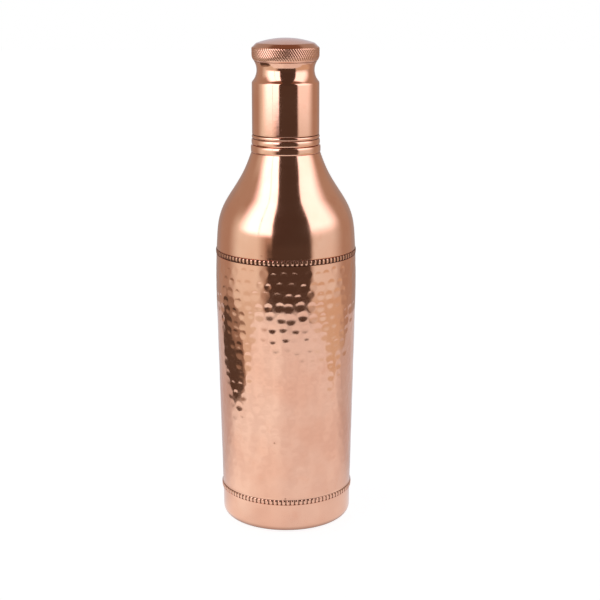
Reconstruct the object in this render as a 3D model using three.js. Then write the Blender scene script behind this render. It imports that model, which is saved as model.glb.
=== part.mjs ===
// Copper water bottle with a screw cap: a hammered barrel between two beaded rings, a spun shoulder,
// a ringed collar, a threaded neck, and a long waisted cap with a knurled knob.
// Millimetres, +Z up, origin at the centre of the base, on the surface that the bottle stands on.
import * as THREE from "three";
import { mergeVertices } from "three/addons/utils/BufferGeometryUtils.js";

const SHEET = 0.6; // thickness of the copper sheet
const GAP = 0.3; // between pieces that touch

// Heights, from the standing face up
const BASE_TOP = 17.6;
const BARREL_BOTTOM = 21.0;
const BARREL_TOP = 164.0;
const SHOULDER_BOTTOM = 167.4;
const SHOULDER_TOP = 224.3;
const COLLAR_TOP = 234.7;
const SLEEVE_BOTTOM = COLLAR_TOP + GAP;
const MOUTH = 258.5;
const SLEEVE_TOP = 277.0;
const CAP_TOP = 290.4;

// Base cup, with a floor dished up inside a flat standing ring
const BASE_RADIUS = 39.0;
const BASE_CORNER = 5.5;
const DISH_RADIUS = 25.0;
const DISH_FOOT_RADIUS = 28.0;
const DISH_HEIGHT = 2.5;

// Barrel: a straight taper that rounds in above the belly
const BARREL_BOTTOM_RADIUS = 39.3;
const BARREL_TAPER = 0.0219;
const BELLY_HEIGHT = 136.0;
const BELLY_CURVE = 0.00106;

// Skirts of the base cup and the shoulder, which reach inside the barrel
const LOWER_SKIRT_RADIUS = BARREL_BOTTOM_RADIUS - SHEET - GAP;
const LOWER_SKIRT_TOP = 26.0;
const UPPER_SKIRT_RADIUS = 40.5;
const UPPER_SKIRT_BOTTOM = 158.0;

// Beaded rings
const LOWER_BEAD_RADIUS = 39.85;
const UPPER_BEAD_RADIUS = 41.8;
const BEAD_EDGE = 0.75;

// Shoulder: two Bezier curves of radius and height, which meet on one tangent
const SHOULDER_CURVES = [
  [[41.4, SHOULDER_BOTTOM], [40.5, 181.2], [41.05, 187.3], [32.9, 199.7]],
  [[32.9, 199.7], [26.05, 210.1], [23.9, 214.0], [20.35, SHOULDER_TOP]],
];

// Collar
const COLLAR_BORE = 18.4;
const COLLAR_GROOVE = 0.6;
const COLLAR_RINGS = [
  { bottom: SHOULDER_TOP + GAP, top: 228.75, radius: 20.5, round: 0.9 },
  { bottom: 229.05, top: 232.45, radius: 20.1, round: 0.9 },
  { bottom: 232.75, top: COLLAR_TOP, radius: 19.95, round: 0.7 },
];

// Neck
const NECK_BORE = 14.5;
const NECK_RADIUS = 15.7;
const NECK_FOOT_RADIUS = COLLAR_BORE - GAP;
const NECK_FOOT_BOTTOM = 217.0;
const NECK_FOOT_TOP = 234.0;
const LIP_ROUND = 0.5;

// Thread: one start, right-hand, with rounded crests
const THREAD_LEAD = 3.5;
const THREAD_TURNS = 3.5;
const THREAD_DEPTH = 1.3;
const THREAD_BOTTOM = 243.5;
const THREAD_CLEARANCE = 0.35;
const THREAD_ROWS_PER_TURN = 6;

// Cap sleeve: a straight wall, a rounded corner and a waist
const SLEEVE_RADIUS = 19.75;
const SLEEVE_EDGE = 0.4;
const CORNER = { centreRadius: 17.75, centreHeight: 264.5, turn: 44 };
const WAIST = { centreRadius: 26.5, centreHeight: 272.1, radius: 9.6, from: 220.2 };

// Cup with the inside thread, and the seal at its end
const CUP_RADIUS = SLEEVE_RADIUS - SHEET - GAP;
const CUP_ROOT_RADIUS = NECK_RADIUS + THREAD_DEPTH + THREAD_CLEARANCE;
const CUP_BOTTOM = 242.0;
const SEAL_BOTTOM = MOUTH + GAP;
const SEAL_TOP = SEAL_BOTTOM + 2.0;
const SEAL_RADIUS = 16.6;
const SEAL_BORE = 12.5;
const SEAL_EDGE = 0.3;

// Cap knob: a hollow disc with a rounded underside, an upright rim, a chamfer and a low dome
const KNOB_RADIUS = 19.8;
const KNOB_BOTTOM = SLEEVE_TOP + GAP;
const KNOB_FLANGE_BORE = 15.5;
const KNOB_UNDERSIDE = { radius: 5.45, centreHeight: 281.0 };
const KNOB_EDGE = { radius: 1.2, centreHeight: 284.4, turn: 70 };
const DOME_RADIUS = 17.5;
const DOME_HEIGHT = 3.1;

const SEGMENTS = 40;
const THREAD_SEGMENTS = 32;

const copper = new THREE.MeshStandardMaterial({ color: 0xdb9470, roughness: 0.18, metalness: 1 });
const hammeredCopper = new THREE.MeshStandardMaterial({ color: 0xde9878, roughness: 0.22, metalness: 1 });
const darkenedCopper = new THREE.MeshStandardMaterial({ color: 0x9a5f45, roughness: 0.35, metalness: 1 });
const silicone = new THREE.MeshStandardMaterial({ color: 0xe6e2da, roughness: 0.6, metalness: 0 });

// Points of an arc in the plane of radius and height. Angles are degrees above the outward direction.
function arc(centreRadius, centreHeight, radius, from, to, steps) {
  return Array.from({ length: steps + 1 }, (_, i) => {
    const angle = THREE.MathUtils.degToRad(from + ((to - from) * i) / steps);
    return [centreRadius + radius * Math.cos(angle), centreHeight + radius * Math.sin(angle)];
  });
}

// An outline moved inwards, square to its own direction.
function inset(outline, distance) {
  return outline.map(([radius, height], i) => {
    const [r0, z0] = outline[Math.max(i - 1, 0)];
    const [r1, z1] = outline[Math.min(i + 1, outline.length - 1)];
    const length = Math.hypot(r1 - r0, z1 - z0);
    return [radius - (distance * (z1 - z0)) / length, height + (distance * (r1 - r0)) / length];
  });
}

// Solid of revolution about Z. The outline runs up its outer side, and starts and ends on the axis.
function turned(outline, segments = SEGMENTS) {
  const points = outline.map(([radius, height]) => new THREE.Vector2(radius, height));
  const lathe = new THREE.LatheGeometry(points, segments);
  lathe.rotateX(Math.PI / 2);
  lathe.deleteAttribute("normal");
  lathe.deleteAttribute("uv");
  const solid = mergeVertices(lathe, 1e-3);
  solid.computeVertexNormals();
  return solid;
}

// The same with a hole through it: the outline closes on itself.
function turnedRing(outline, segments = SEGMENTS) {
  return turned([...outline, outline[0]], segments);
}

// Rows of the cylinder that a thread is cut in, from its lower end to its upper end.
function threadRows(radius) {
  const rise = THREAD_LEAD / THREAD_ROWS_PER_TURN;
  const rows = THREAD_TURNS * THREAD_ROWS_PER_TURN;
  return Array.from({ length: rows + 1 }, (_, i) => [radius, THREAD_BOTTOM + i * rise]);
}

// Moves the vertices on a cylinder to the thread. The form runs from 0 at a root to 1 at a crest of
// the neck's thread, and the depth fades out over half a turn at each end.
function cutThread(geometry, cylinderRadius, radiusAt) {
  const position = geometry.getAttribute("position");
  for (let i = 0; i < position.count; i++) {
    const [x, y, z] = [position.getX(i), position.getY(i), position.getZ(i)];
    const radius = Math.hypot(x, y);
    const turns = (z - THREAD_BOTTOM) / THREAD_LEAD;
    const fade = THREE.MathUtils.clamp(2 * Math.min(turns, THREAD_TURNS - turns), 0, 1);
    if (Math.abs(radius - cylinderRadius) > 1e-3 || fade === 0) continue;
    const form = 0.5 + 0.5 * Math.cos(2 * Math.PI * turns - Math.atan2(y, x));
    const scale = radiusAt(THREAD_DEPTH * fade, form) / radius;
    position.setXY(i, x * scale, y * scale);
  }
  geometry.computeVertexNormals();
  return geometry;
}

function barrelRadius(height) {
  const aboveBelly = Math.max(0, height - BELLY_HEIGHT);
  const taper = BARREL_TAPER * (height - BARREL_BOTTOM);
  return BARREL_BOTTOM_RADIUS + taper - BELLY_CURVE * aboveBelly ** 2;
}

// Smooth drawn cup: dished floor, flat standing ring, rounded edge, and a skirt inside the barrel.
function baseCup() {
  const corner = (radius, from, to) => arc(BASE_RADIUS - BASE_CORNER, BASE_CORNER, radius, from, to, 4);
  return turned([
    [0, DISH_HEIGHT],
    [DISH_RADIUS, DISH_HEIGHT],
    [DISH_FOOT_RADIUS, 0],
    ...corner(BASE_CORNER, -90, 0),
    [BASE_RADIUS, BASE_TOP],
    [LOWER_SKIRT_RADIUS, BASE_TOP],
    [LOWER_SKIRT_RADIUS, LOWER_SKIRT_TOP],
    [LOWER_SKIRT_RADIUS - SHEET, LOWER_SKIRT_TOP],
    [LOWER_SKIRT_RADIUS - SHEET, BASE_TOP - SHEET],
    ...corner(BASE_CORNER - SHEET, 0, -90),
    [DISH_FOOT_RADIUS, SHEET],
    [DISH_RADIUS, DISH_HEIGHT + SHEET],
    [0, DISH_HEIGHT + SHEET],
  ]);
}

function bodyBarrel() {
  const steps = 6;
  const outside = Array.from({ length: steps + 1 }, (_, i) => {
    const height = BARREL_BOTTOM + ((BARREL_TOP - BARREL_BOTTOM) * i) / steps;
    return [barrelRadius(height), height];
  });
  const inside = outside.map(([radius, height]) => [radius - SHEET, height]).reverse();
  return turnedRing([...outside, ...inside]);
}

// Half-round ring over a skirt, between the two shells that the skirt joins.
function beadRing(skirtRadius, crestRadius, shellBelow, shellAbove) {
  const bore = skirtRadius + GAP;
  const bottom = shellBelow + GAP;
  const top = shellAbove - GAP;
  const middle = (bottom + top) / 2;
  return turnedRing([
    [bore, bottom],
    [crestRadius - BEAD_EDGE, bottom],
    [crestRadius, middle - BEAD_EDGE],
    [crestRadius, middle + BEAD_EDGE],
    [crestRadius - BEAD_EDGE, top],
    [bore, top],
  ]);
}

// Smooth spun shell with a skirt inside the barrel, and a lip turned in under the collar.
function shoulderShell() {
  const steps = 6;
  const outside = SHOULDER_CURVES.flatMap((curve, i) => {
    const points = curve.map(([radius, height]) => new THREE.Vector2(radius, height));
    const bezier = new THREE.CubicBezierCurve(...points);
    return bezier.getPoints(steps).slice(i).map((point) => [point.x, point.y]);
  });
  const inside = inset(outside, SHEET).slice(1, -1).reverse();
  return turnedRing([
    [UPPER_SKIRT_RADIUS, UPPER_SKIRT_BOTTOM],
    [UPPER_SKIRT_RADIUS, SHOULDER_BOTTOM],
    ...outside,
    [COLLAR_BORE, SHOULDER_TOP],
    [COLLAR_BORE, SHOULDER_TOP - SHEET],
    ...inside,
    [UPPER_SKIRT_RADIUS - SHEET, SHOULDER_BOTTOM],
    [UPPER_SKIRT_RADIUS - SHEET, UPPER_SKIRT_BOTTOM],
  ]);
}

// Turned collar: three rounded rings with a groove between each two.
function neckCollar() {
  const rings = COLLAR_RINGS.flatMap(({ bottom, top, radius, round }) => [
    [radius - COLLAR_GROOVE, bottom],
    [radius, bottom + round],
    [radius, top - round],
    [radius - COLLAR_GROOVE, top],
  ]);
  return turnedRing([...rings, [COLLAR_BORE, COLLAR_TOP], [COLLAR_BORE, SHOULDER_TOP + GAP]]);
}

// Mouth and neck tube with the outside thread, and a wider foot inside the collar.
function threadedNeck() {
  const neckBottom = NECK_FOOT_TOP + NECK_FOOT_RADIUS - NECK_RADIUS;
  const neck = turnedRing(
    [
      [NECK_FOOT_RADIUS, NECK_FOOT_BOTTOM],
      [NECK_FOOT_RADIUS, NECK_FOOT_TOP],
      [NECK_RADIUS, neckBottom],
      ...threadRows(NECK_RADIUS),
      [NECK_RADIUS, MOUTH - LIP_ROUND],
      [NECK_RADIUS - LIP_ROUND, MOUTH],
      [NECK_BORE, MOUTH],
      [NECK_BORE, neckBottom],
      [NECK_FOOT_RADIUS - SHEET, NECK_FOOT_TOP - SHEET],
      [NECK_FOOT_RADIUS - SHEET, NECK_FOOT_BOTTOM],
    ],
    THREAD_SEGMENTS,
  );
  return cutThread(neck, NECK_RADIUS, (depth, form) => NECK_RADIUS + depth * form);
}

// Cup held in the sleeve: inside thread, plain recess for the seal, and an end wall.
function capThreadCup() {
  const floor = SEAL_TOP + GAP;
  const cup = turned(
    [
      [0, floor],
      [CUP_ROOT_RADIUS, floor],
      ...threadRows(CUP_ROOT_RADIUS).reverse(),
      [CUP_ROOT_RADIUS, CUP_BOTTOM],
      [CUP_RADIUS, CUP_BOTTOM],
      [CUP_RADIUS, floor + SHEET],
      [0, floor + SHEET],
    ],
    THREAD_SEGMENTS,
  );
  return cutThread(cup, CUP_ROOT_RADIUS, (depth, form) => CUP_ROOT_RADIUS - depth * (1 - form));
}

// Silicone washer that the mouth closes on.
function capSeal() {
  return turnedRing(
    [
      [SEAL_BORE, SEAL_BOTTOM],
      [SEAL_RADIUS - SEAL_EDGE, SEAL_BOTTOM],
      [SEAL_RADIUS, SEAL_BOTTOM + SEAL_EDGE],
      [SEAL_RADIUS, SEAL_TOP - SEAL_EDGE],
      [SEAL_RADIUS - SEAL_EDGE, SEAL_TOP],
      [SEAL_BORE, SEAL_TOP],
    ],
    THREAD_SEGMENTS,
  );
}

// Spun sleeve over the neck: straight wall with an eased lower edge, rounded corner and waist.
function capSleeve() {
  const cornerArc = (radius) => arc(CORNER.centreRadius, CORNER.centreHeight, radius, 0, CORNER.turn, 3);
  const waistArc = (radius) => {
    const rise = Math.asin((SLEEVE_TOP - WAIST.centreHeight) / radius);
    const to = 180 - THREE.MathUtils.radToDeg(rise);
    return arc(WAIST.centreRadius, WAIST.centreHeight, radius, WAIST.from, to, 6);
  };
  const cornerRadius = SLEEVE_RADIUS - CORNER.centreRadius;
  return turnedRing([
    [SLEEVE_RADIUS - SHEET, SLEEVE_BOTTOM],
    [SLEEVE_RADIUS - SLEEVE_EDGE, SLEEVE_BOTTOM],
    [SLEEVE_RADIUS, SLEEVE_BOTTOM + SLEEVE_EDGE],
    ...cornerArc(cornerRadius),
    ...waistArc(WAIST.radius),
    ...waistArc(WAIST.radius + SHEET).reverse(),
    ...cornerArc(cornerRadius - SHEET).reverse(),
  ]);
}

// Hollow knob, open underneath: flange, rounded underside, upright rim, chamfer and dome.
function capKnob() {
  const underside = (wall) => {
    const { radius, centreHeight } = KNOB_UNDERSIDE;
    const drop = (centreHeight - KNOB_BOTTOM - wall) / (radius - wall);
    const from = -THREE.MathUtils.radToDeg(Math.asin(drop));
    return arc(KNOB_RADIUS - radius, centreHeight, radius - wall, from, 0, 4);
  };
  const edge = (wall) => {
    const { radius, centreHeight, turn } = KNOB_EDGE;
    return arc(KNOB_RADIUS - radius, centreHeight, radius - wall, 0, turn, 3);
  };
  const dome = (wall) => {
    const radius = (DOME_RADIUS ** 2 + DOME_HEIGHT ** 2) / (2 * DOME_HEIGHT);
    const from = THREE.MathUtils.radToDeg(Math.acos(DOME_RADIUS / radius));
    return arc(0, CAP_TOP - radius, radius - wall, from, 90, 4);
  };
  const shell = (wall) => [...underside(wall), ...edge(wall), ...dome(wall)];
  return turned([
    ...shell(SHEET).reverse(),
    [KNOB_FLANGE_BORE, KNOB_BOTTOM + SHEET],
    [KNOB_FLANGE_BORE, KNOB_BOTTOM],
    ...shell(0),
  ]);
}

function piece(name, geometry, material) {
  const mesh = new THREE.Mesh(geometry, material);
  mesh.name = name;
  return mesh;
}

const lowerBeadRing = beadRing(LOWER_SKIRT_RADIUS, LOWER_BEAD_RADIUS, BASE_TOP, BARREL_BOTTOM);
const upperBeadRing = beadRing(UPPER_SKIRT_RADIUS, UPPER_BEAD_RADIUS, BARREL_TOP, SHOULDER_BOTTOM);

const bottle = new THREE.Group();
bottle.add(
  piece("base_cup", baseCup(), copper),
  piece("lower_bead_ring", lowerBeadRing, darkenedCopper),
  piece("body_barrel", bodyBarrel(), hammeredCopper),
  piece("upper_bead_ring", upperBeadRing, darkenedCopper),
  piece("shoulder_shell", shoulderShell(), copper),
  piece("neck_collar", neckCollar(), copper),
  piece("threaded_neck", threadedNeck(), copper),
);

const cap = new THREE.Group();
cap.add(
  piece("cap_seal", capSeal(), silicone),
  piece("cap_thread_cup", capThreadCup(), copper),
  piece("cap_sleeve", capSleeve(), copper),
  piece("cap_knob", capKnob(), copper),
);

const waterBottle = new THREE.Group();
waterBottle.add(bottle, cap);

export default waterBottle;
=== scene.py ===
"""Copper water bottle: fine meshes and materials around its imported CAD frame.

Outlines are lists of (radius, height) in millimetres, as the CAD model's are. Every mesh is built in metres.
"""

import math

import bmesh
import bpy
import numpy as np
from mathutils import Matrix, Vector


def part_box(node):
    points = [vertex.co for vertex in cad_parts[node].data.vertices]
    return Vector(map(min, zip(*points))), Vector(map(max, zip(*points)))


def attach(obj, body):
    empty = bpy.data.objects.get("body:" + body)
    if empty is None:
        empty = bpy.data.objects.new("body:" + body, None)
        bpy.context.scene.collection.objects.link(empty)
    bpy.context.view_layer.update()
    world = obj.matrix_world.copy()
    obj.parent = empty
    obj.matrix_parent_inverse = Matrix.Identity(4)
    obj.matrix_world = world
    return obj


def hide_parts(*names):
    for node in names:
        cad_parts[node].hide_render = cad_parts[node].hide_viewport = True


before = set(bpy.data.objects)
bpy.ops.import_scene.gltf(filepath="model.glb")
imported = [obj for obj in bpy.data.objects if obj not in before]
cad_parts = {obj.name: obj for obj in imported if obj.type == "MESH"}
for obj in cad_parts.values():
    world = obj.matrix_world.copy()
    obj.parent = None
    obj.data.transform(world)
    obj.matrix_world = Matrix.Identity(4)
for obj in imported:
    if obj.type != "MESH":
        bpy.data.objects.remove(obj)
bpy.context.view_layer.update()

MM = 0.001
SHEET = 0.6  # thickness of the copper sheet
GAP = 0.3  # between pieces that touch in the CAD model
SEAM = 0.03  # what these meshes leave of that gap
COLUMNS = 256  # points round a plain turned piece

CAMERA_PLACE = (0.0084, -0.850, 0.3431)
CAMERA_PITCH = 13.8  # degrees below the horizon
CAMERA_LENS = 87.0


def low(node):
    """Lowest height of a CAD node, in millimetres."""
    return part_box(node)[0].z / MM


def high(node):
    """Highest height of a CAD node, in millimetres."""
    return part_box(node)[1].z / MM


def reach(node):
    """Largest radius of a CAD node, in millimetres."""
    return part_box(node)[1].x / MM


# Heights where one piece hands over to the next
BARREL_BOTTOM = low("body_barrel")
BARREL_TOP = high("body_barrel")
BASE_TOP = low("lower_bead_ring") - GAP
SHOULDER_BOTTOM = high("upper_bead_ring") + GAP
SHOULDER_TOP = high("shoulder_shell")
COLLAR_BOTTOM = SHOULDER_TOP + SEAM
COLLAR_TOP = high("neck_collar")
SLEEVE_BOTTOM = low("cap_sleeve")
SLEEVE_TOP = high("cap_sleeve")
KNOB_BOTTOM = SLEEVE_TOP + SEAM
CAP_TOP = high("cap_knob")

# Barrel: a straight taper that rounds in above the belly
BARREL_BOTTOM_RADIUS = 39.3
BARREL_TAPER = 0.0219
BELLY_HEIGHT = 136.0
BELLY_CURVE = 0.00106
HAMMER_SINK = 0.1  # how far hammering leaves the skin under the plain outline

SHOULDER_BOTTOM_RADIUS = 41.4
SHOULDER_JOIN = (32.9, 199.7)  # where the shoulder's two curves meet
EDGE = 0.06  # rounding of the shells' edges at a seam
COLLAR_BORE = 18.4
KNOB_FLANGE_BORE = 15.5

# Skirts inside the barrel
LOWER_SKIRT_RADIUS = BARREL_BOTTOM_RADIUS - SHEET - GAP
UPPER_SKIRT_RADIUS = 40.5

# Thread
THREAD_LEAD = 3.5
THREAD_TURNS = 3.5
THREAD_DEPTH = 1.3
THREAD_CLEARANCE = 0.35
THREAD_BOTTOM = 243.5
THREAD_TOP = THREAD_BOTTOM + THREAD_LEAD * THREAD_TURNS
THREAD_ROWS = 98
THREAD_COLUMNS = 192
THREAD_DIRT = 0.4  # recess at the root of the thread
NECK_RADIUS = 15.7
CUP_ROOT_RADIUS = NECK_RADIUS + THREAD_DEPTH + THREAD_CLEARANCE

# Beads
BEAD_COUNT = 96
BEAD_COLUMNS = 12  # points round each bead
BEAD_ROWS = 19
BEAD_VALLEY = 0.56  # depth of the gap between two beads
BEAD_OVAL = 2.2  # 2 makes a bead's outline an ellipse, and more makes it squarer


# ---------------------------------------------------------------- outlines


def arc(centre, radius, start, end, steps=12):
    """Points of an arc. Angles are degrees above the outward direction."""
    angles = np.radians(np.linspace(start, end, steps + 1))
    return [(centre[0] + radius * math.cos(a), centre[1] + radius * math.sin(a)) for a in angles]


def bezier(points, steps):
    a, b, c, d = (np.array(p) for p in points)
    fractions = np.linspace(0, 1, steps + 1)
    return [
        tuple(a * (1 - t) ** 3 + 3 * b * t * (1 - t) ** 2 + 3 * c * t**2 * (1 - t) + d * t**3)
        for t in fractions
    ]


def line(start, end, steps):
    """Evenly spaced points from start to end, both included."""
    return [tuple(np.array(start) + (np.array(end) - start) * i / steps) for i in range(steps + 1)]


def rounded(corners, steps=5):
    """Outline through (radius, height, rounding) corners, each eased off by its rounding."""
    outline = []
    for i, (r, z, rounding) in enumerate(corners):
        here = np.array((r, z))
        if rounding == 0:
            outline.append((r, z))
            continue
        before = np.array(corners[i - 1][:2]) - here
        after = np.array(corners[(i + 1) % len(corners)][:2]) - here
        start = here + before / np.linalg.norm(before) * rounding
        end = here + after / np.linalg.norm(after) * rounding
        for t in np.linspace(0, 1, steps + 1):
            outline.append(tuple(start * (1 - t) ** 2 + 2 * here * t * (1 - t) + end * t**2))
    return outline


def bulge(bottom, top, radius, depth, squareness, steps=20):
    """Rounded ring that stands out by depth.

    A squareness of 2 makes it elliptical, and more makes it flatter.
    """
    outline = []
    for angle in np.linspace(-math.pi / 2, math.pi / 2, steps + 1):
        up = math.copysign(abs(math.sin(angle)) ** (2 / squareness), angle)
        out = math.cos(angle) ** (2 / squareness)
        outline.append((radius - depth * (1 - out), (bottom + top) / 2 + (top - bottom) / 2 * up))
    return outline


def inset(outline, distance):
    """An outline moved inwards, square to its own direction."""
    points = np.array(outline)
    along = np.gradient(points, axis=0)
    length = np.hypot(along[:, 0], along[:, 1])
    inward = np.stack((-along[:, 1], along[:, 0]), axis=1) / length[:, None]
    return [tuple(p) for p in points + inward * distance]


# ---------------------------------------------------------------- meshes


def turned(name, outline, columns=COLUMNS, ring=True, cut=None, sharp=32):
    """Surface of revolution about Z.

    A ring's outline closes on itself, and any other starts and ends on the axis.
    cut(turn, height, radius) gives how deep each point lies under the outline, and a 0 to 1 recess for
    the material. sharp is the angle in degrees above which an edge stays crisp.
    """
    points = np.array(outline)
    if ring:
        along = np.roll(points, -1, axis=0) - np.roll(points, 1, axis=0)
    else:
        along = np.gradient(points, axis=0)
    outward = np.stack((along[:, 1], -along[:, 0]), axis=1)
    outward /= np.maximum(np.hypot(outward[:, 0], outward[:, 1]), 1e-9)[:, None]
    turn = np.broadcast_to(np.arange(columns) * 2 * math.pi / columns, (len(points), columns)).copy()
    radius = np.repeat(points[:, 0:1], columns, axis=1)
    height = np.repeat(points[:, 1:2], columns, axis=1)
    recess = np.zeros_like(radius)
    if cut:
        turn, height, depth, recess = cut(turn, height, radius)
        radius = radius - depth * outward[:, 0:1]
        height = height - depth * outward[:, 1:2]
    vertices = np.stack((radius * np.cos(turn), radius * np.sin(turn), height), axis=-1) * MM
    return grid_mesh(name, vertices, recess, ring, sharp)


def grid_mesh(name, vertices, recess, ring, sharp):
    """Mesh of a grid that closes on itself round the columns, and over the rows too if it is a ring."""
    rows, columns = recess.shape
    index = np.arange(rows * columns).reshape(rows, columns)
    below = index if ring else index[:-1]
    above = np.roll(index, -1, axis=0) if ring else index[1:]
    quads = np.stack((below, np.roll(below, -1, 1), np.roll(above, -1, 1), above), axis=-1).reshape(-1, 4)
    mesh = bpy.data.meshes.new(name)
    mesh.from_pydata(vertices.reshape(-1, 3), [], quads.tolist())
    mesh.attributes.new("recess", "FLOAT", "POINT").data.foreach_set("value", recess.ravel())
    if not ring:
        close_poles(mesh)
    mesh.shade_smooth()
    mesh.set_sharp_from_angle(angle=math.radians(sharp))
    mesh.update()
    piece = bpy.data.objects.new(name, mesh)
    bpy.context.scene.collection.objects.link(piece)
    return piece


def close_poles(mesh):
    """Merges the points that lie on the axis, and so turns the quads there into triangles."""
    work = bmesh.new()
    work.from_mesh(mesh)
    on_axis = [v for v in work.verts if math.hypot(v.co.x, v.co.y) < 1e-7]
    bmesh.ops.remove_doubles(work, verts=on_axis, dist=1e-6)
    work.to_mesh(mesh)
    work.free()


def barrel_radius(height):
    """Radius of the plain outline that the hammering is cut into."""
    above_belly = np.maximum(0, height - BELLY_HEIGHT)
    taper = BARREL_TAPER * (height - BARREL_BOTTOM)
    return BARREL_BOTTOM_RADIUS + taper - BELLY_CURVE * above_belly**2


def waves(turn, height, seed, count, around, upward, size):
    """Smooth random relief that closes on itself round the bottle."""
    random = np.random.RandomState(seed)
    relief = np.zeros_like(turn)
    for _ in range(count):
        cycles = random.randint(-around, around + 1)
        rise = random.uniform(-upward, upward)
        relief += np.cos(cycles * turn + rise * height + random.uniform(0, 2 * math.pi))
    return relief * size / math.sqrt(count)


class Hammering:
    """Rows of small round dents on the barrel, each with a crisp rim."""

    ROW_PITCH = 6.2
    SPACING = 6.4
    SHIFT = 1.0  # most that a blow lands off its place, each way
    DENT_RADIUS = (2.15, 3.15)
    DENT_DEPTH = (0.05, 0.10)
    TOP_DEEPENING = 0.7  # how much deeper the topmost dents are, as a share of the lowest ones
    UPWARD_LEAN = 0.5  # a dent is this much deeper towards its top, and shallower towards its bottom
    MARGIN = 2.4  # plain strip along each edge of the barrel
    WINDOW = 1.3  # how far the grid window round a dent reaches, in the dent's radii
    RIM_SNAP = 0.45  # how near to a rim a point is pulled onto it, in grid steps
    FIXED_EDGE = 0.1  # points this near to the barrel's edges aren't pulled onto a rim
    LEVELLING = 3.0  # height over which the wavy wall levels out towards each edge
    SEED = 11

    def __init__(self):
        random = np.random.RandomState(self.SEED)
        bottom = BARREL_BOTTOM + self.MARGIN
        top = BARREL_TOP - self.MARGIN
        rows = round((top - bottom) / self.ROW_PITCH)
        self.dents = []
        for row in range(rows):
            middle = bottom + (top - bottom) * (row + 0.5) / rows
            count = round(2 * math.pi * barrel_radius(middle) / self.SPACING)
            start = random.uniform(0, 1)
            for i in range(count):
                turn = (i + start) * 2 * math.pi / count
                turn += random.uniform(-self.SHIFT, self.SHIFT) / barrel_radius(middle)
                height = middle + random.uniform(-self.SHIFT, self.SHIFT)
                size = random.uniform(*self.DENT_RADIUS)
                deepening = 1 + self.TOP_DEEPENING * ((row + 1) / rows) ** 4
                self.dents.append((turn, height, size, random.uniform(*self.DENT_DEPTH) * deepening))

    def near(self, turn, height, dent):
        """Grid window round a dent, and the distances from its middle round and up the barrel."""
        middle_turn, middle_height, size, _ = dent
        reach_out = size * self.WINDOW
        rows = np.flatnonzero(np.abs(height[:, 0] - middle_height) < reach_out)
        round_the_barrel = (turn[0] - middle_turn + math.pi) % (2 * math.pi) - math.pi
        columns = np.flatnonzero(np.abs(round_the_barrel) * BARREL_BOTTOM_RADIUS < reach_out)
        window = np.ix_(rows, columns)
        across = (turn[window] - middle_turn + math.pi) % (2 * math.pi) - math.pi
        return window, across * barrel_radius(middle_height), height[window] - middle_height

    def __call__(self, turn, height, radius):
        """Cut for turned(). Grid points near a rim move onto it first, so that the rim comes out crisp."""
        outer = radius[:, 0] > barrel_radius(height[:, 0]) - SHEET / 2
        outer_turn, outer_height = turn[outer], height[outer]
        plain_turn, plain_height = outer_turn.copy(), outer_height.copy()
        step = 2 * math.pi / turn.shape[1] * BARREL_BOTTOM_RADIUS
        windows = [self.near(plain_turn, plain_height, dent) for dent in self.dents]
        above_edge = outer_height > BARREL_BOTTOM + self.FIXED_EDGE
        inside = above_edge & (outer_height < BARREL_TOP - self.FIXED_EDGE)
        for (window, across, up), (_, _, size, _) in zip(windows, self.dents):
            distance = np.hypot(across, up)
            on_rim = (np.abs(distance - size) < self.RIM_SNAP * step) & inside[window]
            stretch = np.where(on_rim, size / np.maximum(distance, 1e-6) - 1, 0)
            outer_turn[window] += stretch * across / BARREL_BOTTOM_RADIUS
            outer_height[window] += stretch * up
        depth = np.zeros_like(outer_turn)
        for (window, _, _), (middle_turn, middle_height, size, deep) in zip(windows, self.dents):
            across = (outer_turn[window] - middle_turn + math.pi) % (2 * math.pi) - math.pi
            across = across * barrel_radius(middle_height)
            up = outer_height[window] - middle_height
            bowl = deep * (1 - (across**2 + up**2) / size**2) * (1 + self.UPWARD_LEAN * up / size)
            depth[window] = np.maximum(depth[window], bowl)
        from_edge = np.minimum(outer_height - BARREL_BOTTOM, BARREL_TOP - outer_height)
        edge = np.clip(from_edge / self.LEVELLING, 0, 1)
        land = waves(outer_turn, outer_height, seed=3, count=40, around=9, upward=0.3, size=0.03)
        land += waves(outer_turn, outer_height, seed=4, count=60, around=22, upward=0.6, size=0.01)
        total = np.zeros_like(radius)
        total[outer] = HAMMER_SINK + depth + np.maximum(land * edge, -HAMMER_SINK)
        new_turn, new_height = turn.copy(), height.copy()
        new_turn[outer], new_height[outer] = outer_turn, outer_height
        return new_turn, new_height, total, np.zeros_like(radius)


def beads(bottom, top, crest, end_depth, bright_share, end_patina_and_shade):
    """Cut for a ring of upright oval beads, each sinking by end_depth towards its two ends.

    Patina and painted shade lie in the gaps, leave bright_share of each bead bright, and cover its ends by
    end_patina_and_shade.
    """
    end_fall = 1 - (1 - end_depth / BEAD_VALLEY) ** 2
    behind_face = crest - BEAD_VALLEY - 0.2
    gap_sharpness = 2.5
    end_start, end_sharpness = 0.8, 8

    def cut(turn, height, radius):
        across = np.abs((turn * BEAD_COUNT / (2 * math.pi)) % 1 * 2 - 1)
        up = (height - (bottom + top) / 2) / ((top - bottom) / 2)
        oval = np.clip(1 - across**BEAD_OVAL - end_fall * np.abs(up) ** BEAD_OVAL, 0, 1)
        face = radius > behind_face
        depth = np.where(face, BEAD_VALLEY * (1 - np.sqrt(oval)), 0)
        # Painted shade with patina in the gaps between beads and over their ends
        in_gap = np.clip(0.5 + (across - bright_share) * gap_sharpness, 0, 1)
        at_end = end_patina_and_shade * np.clip((np.abs(up) - end_start) * end_sharpness, 0, 1)
        return turn, height, depth, np.where(face, np.maximum(in_gap, at_end), 0)

    return cut


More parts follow.
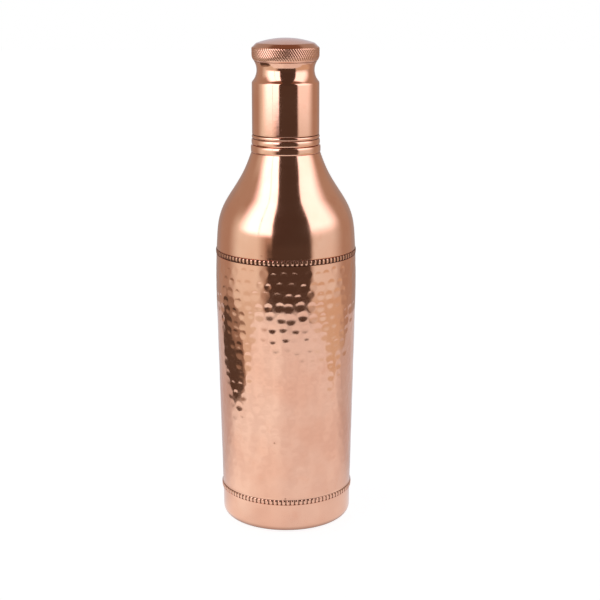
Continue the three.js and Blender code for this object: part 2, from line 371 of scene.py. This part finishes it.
def thread_form(turn, height):
    """0 at a root to 1 at a crest of the neck's thread, and how far it has faded in."""
    turns = (height - THREAD_BOTTOM) / THREAD_LEAD
    fade = np.clip(2 * np.minimum(turns, THREAD_TURNS - turns), 0, 1)
    wave = 0.5 + 0.5 * np.cos(2 * math.pi * turns - turn)
    form = wave**2 * (3 - 2 * wave)
    return form, fade * fade * (3 - 2 * fade)


def neck_thread(turn, height, radius):
    """Cut that raises the thread from the neck's outside."""
    form, fade = thread_form(turn, height)
    outer = np.isclose(radius, NECK_RADIUS, rtol=0, atol=1e-3)
    depth = np.where(outer, -THREAD_DEPTH * form * fade, 0)
    return turn, height, depth, np.where(outer, (1 - form) * fade * THREAD_DIRT, 0)


def cup_thread(turn, height, radius):
    """Cut that raises the matching thread from the bore of the cap's cup."""
    form, fade = thread_form(turn, height)
    bore = np.isclose(radius, CUP_ROOT_RADIUS, rtol=0, atol=1e-3)
    depth = np.where(bore, -THREAD_DEPTH * (1 - form) * fade, 0)
    return turn, height, depth, np.where(bore, form * fade * THREAD_DIRT, 0)


class Knurl:
    """Diamond knurling over the knob's rim and the rounded edge below it."""

    TEETH = 81
    TOOTH_COLUMNS = 8  # points round each tooth
    BOTTOM = 278.2
    TOP = 285.3
    FADE = 0.35
    DEPTH = 0.23
    LEAN = 0.7  # how far a groove runs round the rim for each millimetre up
    SECOND_SHARE = 0.2  # share of the depth that the fainter diagonal has
    RIM_WIDTH = 3.0  # how far in from the rim the grooves may reach
    JOINT_HEIGHT = 0.3  # height of the strip along the joint with the sleeve, darkened by patina and painted shade
    DARKENING_FALL = 1.2  # power of a groove's depth that its patina and painted shade follow

    def __init__(self, knob_radius):
        self.knob_radius = knob_radius

    def __call__(self, turn, height, radius):
        lean = self.LEAN * self.TEETH / self.knob_radius
        first = self.groove(self.TEETH * turn + lean * height)
        second = self.groove(self.TEETH * turn - lean * height) * self.SECOND_SHARE
        within = np.minimum(height - self.BOTTOM, self.TOP - height) / self.FADE
        outer = radius > self.knob_radius - self.RIM_WIDTH
        share = (first * (1 - self.SECOND_SHARE) + second) * np.clip(within, 0, 1) * outer
        # Patina and painted shade darken the grooves and the strip along the joint
        joint = height < KNOB_BOTTOM + self.JOINT_HEIGHT
        return turn, height, self.DEPTH * share, np.maximum(share**self.DARKENING_FALL, joint)

    @staticmethod
    def groove(phase):
        """1 along the bottom of a groove, 0 along the crest between two grooves."""
        return 0.5 + 0.5 * np.cos(phase)


# ---------------------------------------------------------------- materials


class Graph:
    """Short ways to add and join the nodes of one shader."""

    def __init__(self, tree):
        self.tree = tree
        tree.nodes.clear()

    def node(self, kind, inputs=None, **settings):
        made = self.tree.nodes.new(kind)
        for name, value in settings.items():
            setattr(made, name, value)
        for name, value in (inputs or {}).items():
            self.feed(made.inputs[name], value)
        return made

    def feed(self, socket, value):
        if isinstance(value, bpy.types.NodeSocket):
            self.tree.links.new(value, socket)
        else:
            socket.default_value = value

    def math(self, operation, a, b=0.0):
        return self.node("ShaderNodeMath", {0: a, 1: b}, operation=operation).outputs[0]

    def smooth(self, value, start, end, low_value=0.0, high_value=1.0):
        """Eases from low_value at start to high_value at end."""
        inputs = {
            "Value": value,
            "From Min": start,
            "From Max": end,
            "To Min": low_value,
            "To Max": high_value,
        }
        return self.node("ShaderNodeMapRange", inputs, interpolation_type="SMOOTHSTEP").outputs["Result"]

    def band(self, value, limits, softness):
        """1 between two limits and 0 outside them, easing over by the softness of each."""
        rise = self.smooth(value, limits[0] - softness[0], limits[0] + softness[0])
        fall = self.smooth(value, limits[1] - softness[1], limits[1] + softness[1], 1.0, 0.0)
        return self.math("MULTIPLY", rise, fall)

    def azimuth(self, parts):
        """Degrees round the vertical from the front, positive to the right."""
        turn = self.math("ARCTAN2", parts[0], self.math("MULTIPLY", parts[1], -1.0))
        return self.math("MULTIPLY", turn, math.degrees(1))

    def mix(self, factor, a, b):
        """Colour between a and b. The node's colour form has inputs 0, 6 and 7 and output 2."""
        made = self.node("ShaderNodeMix", data_type="RGBA")
        self.feed(made.inputs[0], factor)
        self.feed(made.inputs[6], a)
        self.feed(made.inputs[7], b)
        return made.outputs[2]

    def noise(self, vector, scale, detail=3.0, roughness=0.5):
        inputs = {"Vector": vector, "Scale": scale, "Detail": detail, "Roughness": roughness}
        return self.node("ShaderNodeTexNoise", inputs).outputs["Fac"]

    def object_place(self):
        return self.node("ShaderNodeTexCoord").outputs["Object"]

    def turning_place(self, place, fineness):
        """Coordinates that run quickly along an outline and slowly round the axis, for marks of spinning."""
        slowly = 9.0
        parts = self.node("ShaderNodeSeparateXYZ", {0: place}).outputs
        squares = self.math("ADD", self.math("POWER", parts[0], 2.0), self.math("POWER", parts[1], 2.0))
        radius = self.math("SQRT", squares)
        outward = self.math("MULTIPLY", radius, fineness)
        inputs = {
            0: self.math("ADD", outward, self.math("MULTIPLY", parts[0], slowly)),
            1: self.math("MULTIPLY", parts[1], slowly),
            2: self.math("MULTIPLY", parts[2], fineness),
        }
        return self.node("ShaderNodeCombineXYZ", inputs).outputs[0]


COPPER = (0.84, 0.43, 0.285, 1)
RED_COPPER = (0.80, 0.36, 0.22, 1)
PALE_COPPER = (0.87, 0.48, 0.33, 1)
STAIN = (0.33, 0.13, 0.07, 1)
# Dark patina with painted shade over it, for recesses: gaps between beads, grooves and joints
PATINA_AND_SHADE = (0.14, 0.055, 0.028, 1)
PALE_SILICONE = (0.80, 0.78, 0.73, 1)
DULL_SILICONE = (0.71, 0.68, 0.62, 1)

# The scales of noise are features in a metre, and the distances of bumps are metres


def copper(name, roughness, spun=1.0, patina_and_shade=0.0, specks=0.3):
    """Polished copper: uneven tone, faint marks of spinning, tiny stains, and dark patina with painted shade
    in recesses.
    """
    material = bpy.data.materials.new(name)
    material.use_nodes = True
    g = Graph(material.node_tree)
    place = g.object_place()
    cloud = g.noise(place, 28.0, 3.0, 0.55)
    drift = g.noise(place, 95.0, 4.0, 0.6)
    tone = g.mix(g.smooth(cloud, 0.35, 0.65), COPPER, PALE_COPPER)
    tone = g.mix(g.smooth(drift, 0.55, 0.80, 0.0, 0.35), tone, RED_COPPER)

    cells = g.node("ShaderNodeTexVoronoi", {"Vector": place, "Scale": 150.0, "Randomness": 1.0})
    parts = g.node("ShaderNodeSeparateColor", {0: cells.outputs["Color"]}).outputs
    chosen = g.smooth(parts[0], 0.93, 0.94)
    dot = g.smooth(cells.outputs["Distance"], 0.04, 0.13, 1.0, 0.0)
    speck = g.math("MULTIPLY", g.math("MULTIPLY", chosen, dot), specks)
    tone = g.mix(speck, tone, STAIN)

    # The recess attribute darkens gaps, grooves and joints with patina and with shade painted where it falls
    recess = g.node("ShaderNodeAttribute", attribute_name="recess").outputs["Fac"]
    blotches = g.noise(place, 900.0, 3.0, 0.6)
    depth = g.math("ADD", recess, g.math("MULTIPLY", g.math("SUBTRACT", blotches, 0.5), 0.25))
    dark = g.smooth(depth, 0.25, 0.75, 0.0, patina_and_shade)
    tone = g.mix(dark, tone, PATINA_AND_SHADE)

    lines = g.noise(g.turning_place(place, 1400.0), 1.0, 3.0, 0.6)
    smear = g.noise(g.turning_place(place, 160.0), 1.0, 2.0, 0.5)
    gloss = g.math("ADD", g.smooth(smear, 0.3, 0.7, -0.012 * spun, 0.018 * spun), roughness)
    gloss = g.math("ADD", gloss, g.smooth(cloud, 0.3, 0.7, -0.012, 0.012))
    gloss = g.math("ADD", gloss, g.math("MULTIPLY", dark, 0.42))
    gloss = g.math("ADD", gloss, g.math("MULTIPLY", speck, 0.3))

    bump = g.node("ShaderNodeBump", {"Height": lines, "Distance": 0.000004 * spun, "Strength": 1.0})
    peel = g.noise(place, 320.0, 2.0, 0.5)
    ripple = {"Height": peel, "Distance": 0.000012, "Strength": 1.0, "Normal": bump.outputs[0]}
    bump = g.node("ShaderNodeBump", ripple)
    inputs = {
        "Base Color": tone,
        "Metallic": g.math("SUBTRACT", 1.0, g.math("MULTIPLY", dark, 0.25)),
        "Roughness": gloss,
        "Normal": bump.outputs[0],
    }
    shader = g.node("ShaderNodeBsdfPrincipled", inputs)
    g.node("ShaderNodeOutputMaterial", {"Surface": shader.outputs[0]})
    return material


def silicone():
    """Food-grade silicone: soft, off-white, slightly see-through, with a fine moulded grain."""
    material = bpy.data.materials.new("silicone")
    material.use_nodes = True
    g = Graph(material.node_tree)
    place = g.object_place()
    tone = g.mix(g.noise(place, 60.0), PALE_SILICONE, DULL_SILICONE)
    grain = g.noise(place, 2500.0, 2.0, 0.6)
    bump = g.node("ShaderNodeBump", {"Height": grain, "Distance": 0.00002, "Strength": 0.6})
    inputs = {
        "Base Color": tone,
        "Roughness": g.smooth(grain, 0.3, 0.7, 0.42, 0.58),
        "Normal": bump.outputs[0],
    }
    shader = g.node("ShaderNodeBsdfPrincipled", inputs)
    shader.inputs["Subsurface Weight"].default_value = 0.15
    shader.inputs["Subsurface Scale"].default_value = 0.002
    g.node("ShaderNodeOutputMaterial", {"Surface": shader.outputs[0]})
    return material


# ---------------------------------------------------------------- pieces


def finish_piece(piece, material, body, node):
    """Gives a piece its material and its body, and hides the CAD node that it stands for."""
    piece.data.materials.append(material)
    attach(piece, body)
    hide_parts(node)


def base_cup():
    """Smooth drawn cup: dished floor, standing ring, rounded edge, and a skirt inside the barrel."""
    radius = reach("base_cup")
    corner = 5.5
    foot = 28.0
    dish = 25.0
    rise = 2.5
    skirt = LOWER_SKIRT_RADIUS
    skirt_top = high("base_cup")
    centre = (radius - corner, corner)
    under = bezier([(dish - 1.5, rise), (dish + 0.6, rise), (foot - 1.2, 0), (foot + 0.8, 0)], 12)
    outline = [
        (0, rise), *line((3.0, rise), (dish - 2.5, rise), 10), *under,
        *arc(centre, corner, -90, 0, 24), *line((radius, corner + 1), (radius, BASE_TOP - 0.5), 10),
        *arc((radius - EDGE, BASE_TOP - EDGE), EDGE, 0, 90, 5),
        (skirt + 0.05, BASE_TOP), (skirt, BASE_TOP + 0.05),
        (skirt, skirt_top), (skirt - SHEET, skirt_top), (skirt - SHEET, BASE_TOP - 1),
        *arc(centre, corner - SHEET, 0, -90, 12), (foot, SHEET), (dish, rise + SHEET), (0, rise + SHEET),
    ]
    return turned("base_cup_surface", outline, ring=False)


def bead_ring(name, node, skirt_radius, neighbour_radius, bright_share, end_patina_and_shade):
    """Half-round ring of beads over a skirt, level at its edges with the shells above and below."""
    bore = skirt_radius + GAP
    corner = 0.06  # how far the level edges reach out of the bore
    inner = 0.02  # how far the face's end rows lie inside the edges
    crest = reach(node)
    bottom = low(node) - GAP + SEAM
    top = high(node) + GAP - SEAM
    face = [(crest, z) for z in np.linspace(bottom + inner, top - inner, BEAD_ROWS)]
    outline = [(bore, bottom), (bore + corner, bottom), *face, (bore + corner, top), (bore, top)]
    cut = beads(bottom, top, crest, crest - neighbour_radius, bright_share, end_patina_and_shade)
    return turned(name, outline, BEAD_COUNT * BEAD_COLUMNS, cut=cut, sharp=75)


def body_barrel():
    """Hammered barrel: many rows outside, and few inside, where it isn't hammered."""
    rows = 216
    columns = 400
    inside_step = 16
    heights = np.linspace(BARREL_BOTTOM, BARREL_TOP, rows)
    outside = [(barrel_radius(z), z) for z in heights]
    inside = [(barrel_radius(z) - SHEET - HAMMER_SINK, z) for z in heights[::-inside_step]]
    return turned("body_barrel_surface", outside + inside, columns, cut=Hammering(), sharp=60)


def shoulder_shell():
    """Smooth spun shell with a skirt inside the barrel, and a lip turned in under the collar."""
    foot = (SHOULDER_BOTTOM_RADIUS, SHOULDER_BOTTOM)
    lower = bezier([foot, (40.5, 181.2), (41.05, 187.3), SHOULDER_JOIN], 56)
    upper = bezier([SHOULDER_JOIN, (26.05, 210.1), (23.9, 214.0), (20.35, SHOULDER_TOP)], 48)
    skin = lower + upper[1:]
    skirt = UPPER_SKIRT_RADIUS
    skirt_bottom = low("shoulder_shell")
    inside = inset(skin, SHEET)[1:-1][::-3]
    outline = [
        (skirt, skirt_bottom), (skirt, SHOULDER_BOTTOM - 0.02), (skirt + 0.05, SHOULDER_BOTTOM),
        *arc((skin[0][0] - EDGE, SHOULDER_BOTTOM + EDGE), EDGE, -90, 0, 5), *skin[2:-2],
        *arc((skin[-1][0] - EDGE, SHOULDER_TOP - EDGE), EDGE, 15, 90, 5),
        (COLLAR_BORE, SHOULDER_TOP), (COLLAR_BORE, SHOULDER_TOP - SHEET), *inside,
        (skirt - SHEET, SHOULDER_BOTTOM), (skirt - SHEET, skirt_bottom),
    ]
    return turned("shoulder_shell_surface", outline)


def neck_collar():
    """Turned collar: three rounded rings with a groove between each two."""
    ring_depth = 0.75
    darkening_radius = 19.85  # where the patina and painted shade of the grooves end
    darkening_width = 0.45
    rings = [
        (COLLAR_BOTTOM, 228.75, reach("neck_collar"), 3.4),
        (229.05, 232.45, 20.1, 3.0),
        (232.75, COLLAR_TOP, 19.95, 2.6),
    ]
    outline = [(COLLAR_BORE, COLLAR_BOTTOM)]
    for bottom, top, radius, squareness in rings:
        outline += bulge(bottom, top, radius, ring_depth, squareness)
    outline.append((COLLAR_BORE, COLLAR_TOP))

    # Patina and painted shade darken the grooves and the joint with the shoulder
    def darkened_grooves(turn, height, radius):
        groove = np.clip((darkening_radius - radius) / darkening_width, 0, 1)
        recess = np.where(height > COLLAR_BOTTOM + 0.01, groove, 1)
        return turn, height, np.zeros_like(radius), recess

    return turned("neck_collar_surface", outline, cut=darkened_grooves, sharp=50)


def threaded_neck():
    """Mouth and neck tube with the outside thread, and a wider foot inside the collar."""
    foot = 18.1
    foot_bottom = low("threaded_neck")
    foot_top = 234.0
    mouth = high("threaded_neck")
    bore = 14.5
    lip = 0.55
    bottom = foot_top + foot - NECK_RADIUS
    outline = [
        (foot, foot_bottom), (foot, foot_top - 0.4), (foot - 0.12, foot_top - 0.1),
        (foot - 0.4, foot_top + 0.2), (NECK_RADIUS, bottom),
        *line((NECK_RADIUS, THREAD_BOTTOM), (NECK_RADIUS, THREAD_TOP), THREAD_ROWS),
        (NECK_RADIUS, mouth - lip * 2), *arc((NECK_RADIUS - lip, mouth - lip), lip, 0, 90, 6),
        *arc((bore + lip, mouth - lip), lip, 90, 180, 6), *line((bore, mouth - 2), (bore, bottom), 8),
        (foot - SHEET, foot_top - SHEET), (foot - SHEET, foot_bottom),
    ]
    return turned("threaded_neck_surface", outline, THREAD_COLUMNS, cut=neck_thread, sharp=50)


def cap_thread_cup():
    """Cup held in the sleeve: inside thread, plain recess for the seal, and an end wall."""
    outer = reach("cap_thread_cup")
    bottom = low("cap_thread_cup")
    top = high("cap_thread_cup")
    floor = top - SHEET
    root = CUP_ROOT_RADIUS
    outline = [
        (0, floor), *line((2, floor), (root - 0.6, floor), 8),
        *arc((root - 0.5, floor - 0.5), 0.5, 90, 0, 5),
        *line((root, THREAD_TOP), (root, THREAD_BOTTOM), THREAD_ROWS), (root, bottom + 0.5),
        (root + 0.3, bottom), (outer - 0.3, bottom), (outer, bottom + 0.3),
        *line((outer, bottom + 2), (outer, top - 1.0), 8), *arc((outer - 0.6, top - 0.6), 0.6, 0, 90, 5),
        *line((outer - 2, top), (2, top), 6), (0, top),
    ]
    return turned("cap_thread_cup_surface", outline, THREAD_COLUMNS, ring=False, cut=cup_thread, sharp=50)


def cap_seal():
    """Silicone washer that the mouth closes on, with rounded edges and a shallow dent worn by the mouth."""
    bore = 12.5
    outer = reach("cap_seal")
    bottom = low("cap_seal")
    top = high("cap_seal")
    edge = 0.45
    corners = [
        (bore, bottom, edge), (14.2, bottom, 0.3), (14.6, bottom + 0.12, 0.3), (15.6, bottom + 0.12, 0.3),
        (16.0, bottom, 0.2), (outer, bottom, edge), (outer, top, edge), (bore, top, edge),
    ]
    return turned("cap_seal_surface", rounded(corners, 6), 160)


def cap_sleeve():
    """Spun sleeve over the neck: straight wall with an eased lower edge, rounded corner and waist."""
    radius = reach("cap_sleeve")
    edge = 0.3
    corner = (17.75, 264.5)
    waist = (26.5, 272.1)
    waist_radius = 9.6
    turn_end = 180 - math.degrees(math.asin((SLEEVE_TOP - waist[1]) / waist_radius))
    skin = [
        *line((radius, SLEEVE_BOTTOM + edge), (radius, corner[1] - 0.3), 30),
        *arc(corner, radius - corner[0], 0, 41, 12), *arc(waist, waist_radius, 221.5, turn_end, 40),
    ]
    outline = [
        (radius - SHEET, SLEEVE_BOTTOM), *arc((radius - edge, SLEEVE_BOTTOM + edge), edge, -90, 0, 6)[:-1],
        *skin, *inset(skin, SHEET)[::-2],
    ]
    return turned("cap_sleeve_surface", outline, sharp=40)


def cap_knob():
    """Hollow knob: flange, rounded underside, knurled rim, chamfer and low dome."""
    radius = reach("cap_knob")
    dome_radius = 17.5
    dome_rise = 3.1
    sphere = (dome_radius**2 + dome_rise**2) / (2 * dome_rise)

    def shell(wall, rows):
        """Outline from the flange to the axis, moved in by wall."""
        belly = 5.45
        centre = (radius - belly, 281.0)
        start = -math.degrees(math.asin((centre[1] - KNOB_BOTTOM - wall) / (belly - wall)))
        edge = 1.2
        edge_centre = (radius - edge, 284.4)
        dome_start = math.degrees(math.acos(dome_radius / sphere))
        return [
            *arc(centre, belly - wall, start, 0, rows),
            *line((radius - wall, 281.15), (radius - wall, 284.25), rows * 2 // 3),
            *arc(edge_centre, edge - wall, 0, 62, rows // 3),
            *arc((0, CAP_TOP - sphere), sphere - wall, dome_start + 0.4, 90, rows // 2),
        ]

    flange = [(KNOB_FLANGE_BORE, KNOB_BOTTOM + SHEET), (KNOB_FLANGE_BORE, KNOB_BOTTOM)]
    outline = [*shell(SHEET, 12)[::-1], *flange, *shell(0, 32)]
    columns = Knurl.TEETH * Knurl.TOOTH_COLUMNS
    return turned("cap_knob_surface", outline, columns, ring=False, cut=Knurl(radius), sharp=50)


def build_bottle():
    """Every piece, with its material and body, in place of its CAD node."""
    spun = copper("polished_copper", 0.105)
    ringed = copper("ringed_copper", 0.105, patina_and_shade=0.75)
    worked = copper("hammered_copper", 0.10, spun=0.0, specks=0.6)
    beaded = copper("beaded_copper", 0.14, spun=0.0, patina_and_shade=0.95)
    # The bead rings' copper is darkened in the gaps by patina and painted shade
    aged_and_shaded = copper("aged_and_shaded_copper", 0.14, spun=0.0, patina_and_shade=0.72)
    knurled = copper("knurled_copper", 0.15, spun=0.5, patina_and_shade=0.8)
    lower_ring = bead_ring(
        "lower_bead_ring_surface", "lower_bead_ring", LOWER_SKIRT_RADIUS, BARREL_BOTTOM_RADIUS, 0.68, 0.0)
    upper_ring = bead_ring(
        "upper_bead_ring_surface", "upper_bead_ring", UPPER_SKIRT_RADIUS, SHOULDER_BOTTOM_RADIUS, 0.42, 0.8)
    finish_piece(base_cup(), spun, "bottle", "base_cup")
    finish_piece(lower_ring, aged_and_shaded, "bottle", "lower_bead_ring")
    finish_piece(body_barrel(), worked, "bottle", "body_barrel")
    finish_piece(upper_ring, beaded, "bottle", "upper_bead_ring")
    finish_piece(shoulder_shell(), spun, "bottle", "shoulder_shell")
    finish_piece(neck_collar(), ringed, "bottle", "neck_collar")
    finish_piece(threaded_neck(), spun, "bottle", "threaded_neck")
    finish_piece(cap_seal(), silicone(), "seal", "cap_seal")
    finish_piece(cap_thread_cup(), spun, "cap", "cap_thread_cup")
    finish_piece(cap_sleeve(), spun, "cap", "cap_sleeve")
    finish_piece(cap_knob(), knurled, "cap", "cap_knob")


# ---------------------------------------------------------------- studio

# What the metal sees round it, as seen from the bottle. Angles are degrees: azimuth 0 is towards the
# front and 90 to the right. Each patch is painted over the ones before it.
# azimuths, softness of the two sides, elevations, softness of the two ends, colour
STUDIO = [
    ((-200, -140), (1, 6), (-100, 100), (1, 1), (0.42, 0.36, 0.33)),
    ((140, 200), (6, 1), (-100, 100), (1, 1), (0.42, 0.36, 0.33)),
    ((-200, -167), (1, 6), (0, 100), (6, 1), (0.62, 0.66, 0.76)),
    ((167, 200), (6, 1), (0, 100), (6, 1), (0.62, 0.66, 0.76)),
    ((-200, 200), (1, 1), (57, 100), (4, 1), (0.22, 0.12, 0.08)),
    ((-96, -40), (16, 10), (-60, 22), (8, 12), (0.92, 1.00, 0.97)),
    ((-92, -42), (14, 8), (-60, -14), (8, 2), (0.80, 0.80, 0.72)),
    ((45, 96), (6, 18), (-60, 22), (8, 12), (0.86, 0.93, 0.95)),
    ((45, 110), (6, 14), (-60, -14), (8, 2), (0.72, 0.64, 0.52)),
    ((-31, 42), (4, 3), (-100, -4), (1, 3), (0.09, 0.065, 0.052)),
    ((-22.5, 42.5), (2, 3.5), (-7, 100), (4, 1), (0.08, 0.058, 0.048)),
]
SIDE_WALLS = (0.47, 0.38, 0.32, 1)

# Two soft boxes, and a thin darker strip in front of the left one, bent round the bottle
# radius in metres, azimuths, softness of the two sides, heights in metres, softness of the two ends, colour
SOFT_BOXES = [
    (0.370, (-73, -21.7), (15, 2), (0.210, 0.73), (0.026, 0.08), (2.80, 2.75, 3.20)),
    (0.365, (-43.7, -42.5), (0.7, 0.7), (0.210, 0.73), (0.026, 0.08), (0.60, 0.50, 0.55)),
    (0.370, (40.8, 90.5), (2.5, 17), (0.235, 0.73), (0.06, 0.08), (2.00, 2.05, 2.35)),
]

# The lit part of the table, and a dark thing on it with its shade, as they show in the metal
# x and y in metres
LIT_TABLE = [
    (0, -0.505), (0.2, -0.485), (0.3, -0.43), (0.375, -0.29), (0.38, -0.18), (0.3, -0.04),
    (0.365, 0.02), (0.36, 0.15), (0.44, 0.27), (0.2, 0.5), (-0.25, 0.5), (-0.42, 0.3),
    (-0.33, 0.2), (-0.26, 0.02), (-0.29, -0.1), (-0.32, -0.2), (-0.385, -0.345), (-0.22, -0.475),
]
DARK_THING = [
    (-0.52, 0.19), (-0.43, 0.07), (-0.35, -0.08), (-0.3, -0.1), (-0.26, -0.05), (-0.25, 0.02),
    (-0.33, 0.24), (-0.43, 0.3),
]
SHADE = [
    (-0.62, 0.1), (-0.5, -0.05), (-0.43, -0.12), (-0.28, -0.12), (-0.25, -0.06), (-0.25, 0.02),
    (-0.33, 0.24), (-0.6, 0.3),
]


def studio_light():
    """World light. The camera itself sees plain white beyond the floor."""
    world = bpy.data.worlds.new("studio")
    bpy.context.scene.world = world
    world.use_nodes = True
    g = Graph(world.node_tree)
    direction = g.node("ShaderNodeTexCoord").outputs["Generated"]
    parts = g.node("ShaderNodeSeparateXYZ", {0: direction}).outputs
    azimuth = g.azimuth(parts)
    elevation = g.math("MULTIPLY", g.math("ARCSINE", parts[2]), math.degrees(1))
    colour = SIDE_WALLS
    for azimuths, sides, elevations, ends, paint in STUDIO:
        mask = g.math("MULTIPLY", g.band(azimuth, azimuths, sides), g.band(elevation, elevations, ends))
        colour = g.mix(mask, colour, (*paint, 1))
    lit = g.node("ShaderNodeBackground", {"Color": colour, "Strength": 1.0})
    white = g.node("ShaderNodeBackground", {"Color": (1, 1, 1, 1), "Strength": 1.0})
    seen = g.node("ShaderNodeLightPath").outputs["Is Camera Ray"]
    both = g.node("ShaderNodeMixShader", {0: seen, 1: lit.outputs[0], 2: white.outputs[0]})
    g.node("ShaderNodeOutputWorld", {"Surface": both.outputs[0]})


def panel(name, points, faces, material):
    """Stage panel from a mesh."""
    mesh = bpy.data.meshes.new(name)
    mesh.from_pydata(points, [], faces)
    mesh.materials.append(material)
    made = bpy.data.objects.new(name, mesh)
    bpy.context.scene.collection.objects.link(made)
    return made


def flat_panel(name, corners, height, material):
    """Level stage panel with the given (x, y) corners."""
    return panel(name, [(x, y, height) for x, y in corners], [tuple(range(len(corners)))], material)


def only_in_metal(made):
    """Leaves a panel to reflections alone."""
    made.visible_camera = False
    made.visible_diffuse = False
    made.visible_shadow = False


def glow(name, paint, matt=None):
    """Stage material that gives off its own colour.

    paint is a colour, or a function that makes one in the graph.
    matt is the grey of a matt surface added to it.
    """
    material = bpy.data.materials.new(name)
    material.use_nodes = True
    g = Graph(material.node_tree)
    colour = paint(g) if callable(paint) else (*paint, 1)
    shader = g.node("ShaderNodeEmission", {"Color": colour, "Strength": 1.0}).outputs[0]
    if matt:
        base = g.node("ShaderNodeBsdfDiffuse", {"Color": (matt, matt, matt, 1)})
        shader = g.node("ShaderNodeAddShader", {0: base.outputs[0], 1: shader}).outputs[0]
    g.node("ShaderNodeOutputMaterial", {"Surface": shader})
    return material


def soft_box(name, radius, azimuths, sides, heights, ends, paint):
    """Upright glowing panel bent round the bottle, with soft edges."""
    columns = 33
    turns = np.radians(np.linspace(azimuths[0] - sides[0], azimuths[1] + sides[1], columns))
    levels = (heights[0] - ends[0], heights[1] + ends[1])
    points = [(radius * math.sin(turn), -radius * math.cos(turn), z) for turn in turns for z in levels]
    faces = [(i, i + 1, i + 3, i + 2) for i in range(0, len(points) - 2, 2)]

    material = bpy.data.materials.new(name)
    material.use_nodes = True
    g = Graph(material.node_tree)
    parts = g.node("ShaderNodeSeparateXYZ", {0: g.object_place()}).outputs
    mask = g.math("MULTIPLY", g.band(g.azimuth(parts), azimuths, sides), g.band(parts[2], heights, ends))
    clear = g.node("ShaderNodeBsdfTransparent")
    light = g.node("ShaderNodeEmission", {"Color": (*paint, 1), "Strength": 1.0})
    both = g.node("ShaderNodeMixShader", {0: mask, 1: clear.outputs[0], 2: light.outputs[0]})
    g.node("ShaderNodeOutputMaterial", {"Surface": both.outputs[0]})
    only_in_metal(panel(name, points, faces, material))


def lit_table_paint(g):
    """Slightly cloudy white, dimmer on the right and behind the bottle, and in shadow under it."""
    left = (1.08, 1.20, 1.28, 1)
    right = (0.92, 0.98, 1.05, 1)
    behind = (0.62, 0.61, 0.64, 1)
    cloudy = (0.72, 0.70, 0.74, 1)
    shadowed = (0.30, 0.26, 0.24, 1)
    place = g.object_place()
    parts = g.node("ShaderNodeSeparateXYZ", {0: place}).outputs
    colour = g.mix(g.smooth(parts[0], -0.09, 0.02), left, right)
    colour = g.mix(g.smooth(parts[1], -0.02, 0.08), colour, behind)
    colour = g.mix(g.smooth(g.noise(place, 17.0, 2.0), 0.35, 0.65, 0.0, 0.36), colour, cloudy)
    squares = g.math("ADD", g.math("POWER", parts[0], 2.0), g.math("POWER", parts[1], 2.0))
    shadow = g.smooth(g.math("SQRT", squares), 0.033, 0.043, 1.0, 0.0)
    return g.mix(shadow, colour, shadowed)


def stage():
    """Pale table that the camera sees, and the panels that only the metal reflects."""
    front, back, side = -0.7, 4.0, 3.0
    corners = [(-side, front), (side, front), (side, back), (-side, back)]
    table = flat_panel("table", corners, -0.0001, glow("pale_table", (0.80, 0.835, 0.86), matt=0.62))
    table.visible_glossy = False
    reflected = [
        ("lit_table", LIT_TABLE, -0.0003, lit_table_paint),
        ("shade", SHADE, -0.00025, (0.33, 0.26, 0.21)),
        ("dark_thing", DARK_THING, -0.0002, (0.10, 0.075, 0.06)),
    ]
    for name, outline, height, paint in reflected:
        only_in_metal(flat_panel(name, outline, height, glow(name, paint)))
    for number, settings in enumerate(SOFT_BOXES):
        soft_box(f"soft_box_{number}", *settings)


def camera():
    """Camera in front of the bottle and above it, looking down at CAMERA_PITCH."""
    data = bpy.data.cameras.new("camera")
    data.lens = CAMERA_LENS
    data.sensor_width = 36.0
    made = bpy.data.objects.new("camera", data)
    bpy.context.scene.collection.objects.link(made)
    made.location = CAMERA_PLACE
    made.rotation_euler = (math.radians(90 - CAMERA_PITCH), 0, 0)
    bpy.context.scene.camera = made


camera()
studio_light()
stage()
bpy.context.scene.view_settings.view_transform = "Standard"
build_bottle()
